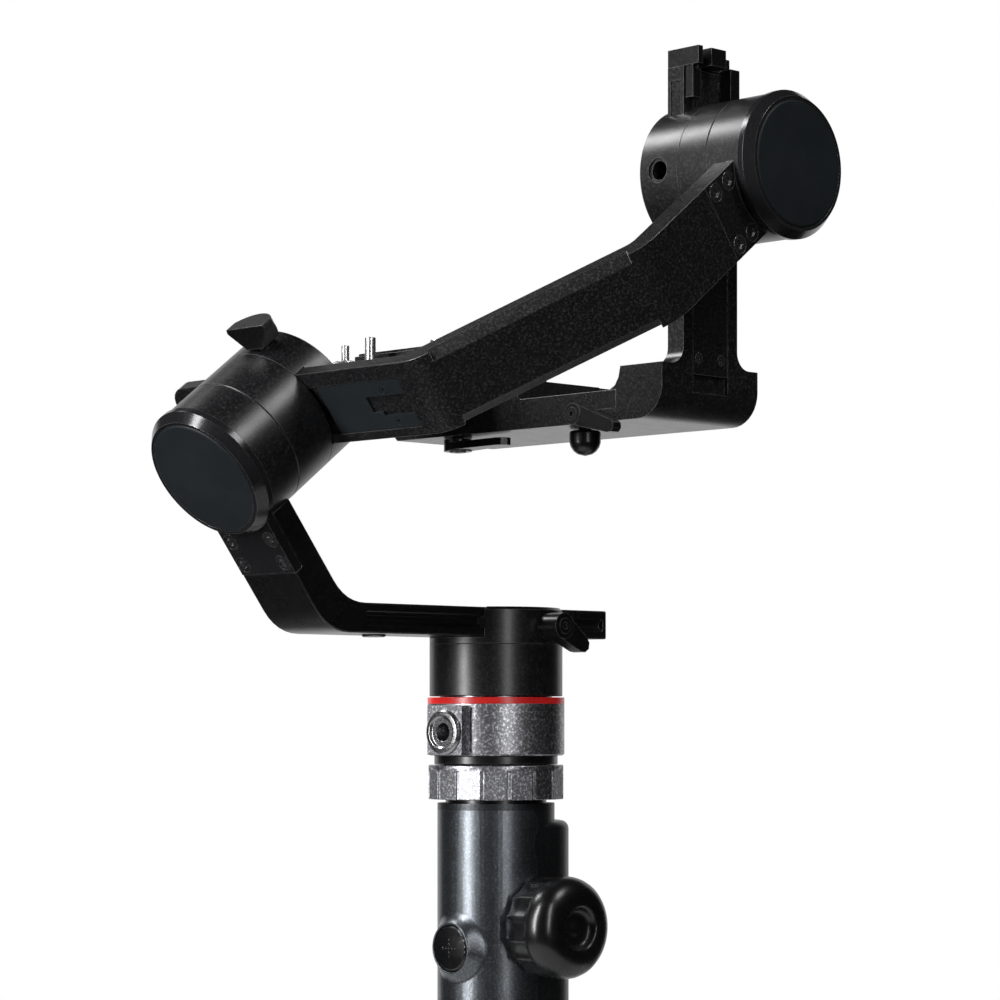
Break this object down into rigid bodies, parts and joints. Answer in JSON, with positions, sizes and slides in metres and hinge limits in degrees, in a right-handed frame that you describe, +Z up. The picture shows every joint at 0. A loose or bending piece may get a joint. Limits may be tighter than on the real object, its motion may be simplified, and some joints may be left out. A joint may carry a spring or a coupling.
{
  "type": "camera gimbal stabiliser",
  "caption": "Handheld three-axis camera gimbal without its camera: round grip, follow knob, three capped motors, sliding arms, quick-release camera plate.",
  "frame": {"origin": "centre of the tripod thread at the bottom face of the handle", "axes": "+Z up the handle along the pan axis, +Y the way the lens would point, +X the operator's right"},
  "size_m": [0.187, 0.1912, 0.4233],
  "materials": {
    "gunmetal_shell": "satin",
    "black_plastic": "matte",
    "black_metal": "satin",
    "speckled_metal": "satin",
    "rubber_disc": "matte",
    "gloss_black": "gloss",
    "red_ring": "gloss",
    "steel": "polished",
    "copper": "satin",
    "brass": "satin",
    "board": "matte",
    "cell_wrap": "satin"
  },
  "bodies": {
    "handle": {"handle_rear_shell": "gunmetal_shell", "handle_front_shell": "gunmetal_shell", "battery_cells": "cell_wrap", "battery_tray": "black_plastic", "control_board": "board", "base_cap": "black_plastic", "tripod_insert": "brass", "head_collar": "black_metal", "button_bezel": "gunmetal_shell", "knob_boss": "black_plastic", "trigger_pin": "steel", "pan_motor_base": "speckled_metal", "accessory_insert": "steel", "accent_ring": "red_ring", "pan_stator": "copper", "pan_bearings": "steel"},
    "lock_ring": {"lock_ring": "speckled_metal"},
    "thumb_button": {"thumb_button": "gloss_black"},
    "trigger": {"trigger": "speckled_metal"},
    "follow_knob": {"follow_knob": "gloss_black"},
    "pan_rotor": {"pan_rotor_housing": "speckled_metal", "pan_magnets": "steel", "pan_shaft": "steel", "pan_clamp": "black_metal"},
    "pan_lever": {"pan_lever": "black_metal"},
    "pan_arm": {"pan_arm": "black_metal", "pan_stop_screw": "steel", "pan_arm_screws": "steel", "roll_motor_housing": "black_metal", "roll_cap_disc": "rubber_disc", "roll_stator": "copper", "roll_bearings": "steel"},
    "roll_rotor": {"roll_rotor_housing": "speckled_metal", "roll_magnets": "steel", "roll_shaft": "steel", "roll_clamp": "black_metal"},
    "roll_lever": {"roll_lever": "black_metal"},
    "roll_arm": {"roll_arm": "black_metal", "roll_arm_stop": "speckled_metal", "tilt_arm_screws": "steel", "tilt_motor_housing": "black_metal", "tilt_cap_disc": "rubber_disc", "tilt_stator": "copper", "tilt_bearings": "steel"},
    "tilt_rotor": {"tilt_rotor_housing": "speckled_metal", "tilt_magnets": "steel", "tilt_shaft": "steel", "tilt_clamp": "speckled_metal"},
    "tilt_lever": {"tilt_lever": "black_metal"},
    "camera_bracket": {"camera_bracket": "speckled_metal", "rail_strip": "speckled_metal", "rail_end_stop": "black_metal", "quick_release_base": "speckled_metal"},
    "plate_lever": {"plate_lever": "black_metal"},
    "safety_lever": {"safety_lever": "black_metal"},
    "safety_knob": {"safety_knob": "black_metal"},
    "camera_plate": {"camera_plate": "black_metal", "riser_plate": "black_plastic"},
    "camera_screw": {"camera_screw": "steel"},
    "d_ring": {"d_ring": "steel"}
  },
  "joints": [
    {"name": "lock_ring_turn", "type": "hinge", "parent": "handle", "child": "lock_ring", "pos_m": [0, 0, 0.179], "axis": [0, 0, 1], "range_deg": [0, 60]},
    {"name": "thumb_button_press", "type": "slide", "parent": "handle", "child": "thumb_button", "axis": [0, 1, 0], "range_m": [0, 0.0012], "stiffness_N_per_m": 900, "springref_m": -0.0006},
    {"name": "trigger_pull", "type": "hinge", "parent": "handle", "child": "trigger", "pos_m": [0, 0.019, 0.147], "axis": [-1, 0, 0], "range_deg": [0, 10], "stiffness_Nm_per_rad": 0.15, "springref_deg": -5.73},
    {"name": "follow_knob_turn", "type": "hinge", "parent": "handle", "child": "follow_knob", "pos_m": [0.0217, 0, 0.1288], "axis": [1, 0, 0], "continuous": true},
    {"name": "pan_turn", "type": "hinge", "parent": "handle", "child": "pan_rotor", "pos_m": [0, 0, 0.215], "axis": [0, 0, 1], "continuous": true},
    {"name": "pan_lever_turn", "type": "hinge", "parent": "pan_rotor", "child": "pan_lever", "pos_m": [0.024, 0.001, 0.2342], "axis": [1, 0, 0], "range_deg": [-70, 70]},
    {"name": "pan_arm_slide", "type": "slide", "parent": "pan_rotor", "child": "pan_arm", "axis": [0, 1, 0], "range_m": [-0.02, 0.028]},
    {"name": "roll_turn", "type": "hinge", "parent": "pan_arm", "child": "roll_rotor", "pos_m": [0, 0, 0.3819], "axis": [0, 0.7955, 0.606], "range_deg": [-45, 45]},
    {"name": "roll_lever_turn", "type": "hinge", "parent": "roll_rotor", "child": "roll_lever", "pos_m": [0.006, -0.11374, 0.32543], "axis": [0, -0.606, 0.7955], "range_deg": [-70, 70]},
    {"name": "roll_arm_slide", "type": "slide", "parent": "roll_rotor", "child": "roll_arm", "axis": [1, 0, 0], "range_m": [-0.03, 0.023]},
    {"name": "tilt_turn", "type": "hinge", "parent": "roll_arm", "child": "tilt_rotor", "pos_m": [0.12, 0, 0.3819], "axis": [1, 0, 0], "range_deg": [-110, 110]},
    {"name": "tilt_lever_turn", "type": "hinge", "parent": "tilt_rotor", "child": "tilt_lever", "pos_m": [0.0983, 0.024, 0.3819], "axis": [0, 1, 0], "range_deg": [-70, 70]},
    {"name": "height_slide", "type": "slide", "parent": "tilt_rotor", "child": "camera_bracket", "axis": [0, 0, 1], "range_m": [-0.001, 0.03]},
    {"name": "plate_lever_turn", "type": "hinge", "parent": "camera_bracket", "child": "plate_lever", "pos_m": [0.0672, -0.0243, 0.3036], "axis": [0, 1, 0], "range_deg": [-60, 60]},
    {"name": "safety_lever_turn", "type": "hinge", "parent": "camera_bracket", "child": "safety_lever", "pos_m": [-0.005, -0.014, 0.3006], "axis": [0, 0, 1], "range_deg": [-45, 45]},
    {"name": "safety_knob_pull", "type": "slide", "parent": "camera_bracket", "child": "safety_knob", "axis": [0, 0, -1], "range_m": [0, 0.003], "stiffness_N_per_m": 400, "springref_m": -0.001},
    {"name": "camera_plate_slide", "type": "slide", "parent": "camera_bracket", "child": "camera_plate", "axis": [0, 1, 0], "range_m": [-0.012, 0.03]},
    {"name": "camera_screw_turn", "type": "hinge", "parent": "camera_plate", "child": "camera_screw", "pos_m": [0, -0.028, 0.325], "axis": [0, 0, 1], "continuous": true},
    {"name": "d_ring_turn", "type": "hinge", "parent": "camera_plate", "child": "d_ring", "pos_m": [0, -0.072, 0.3212], "axis": [0, 0, 1], "range_deg": [-90, 90]}
  ]
}
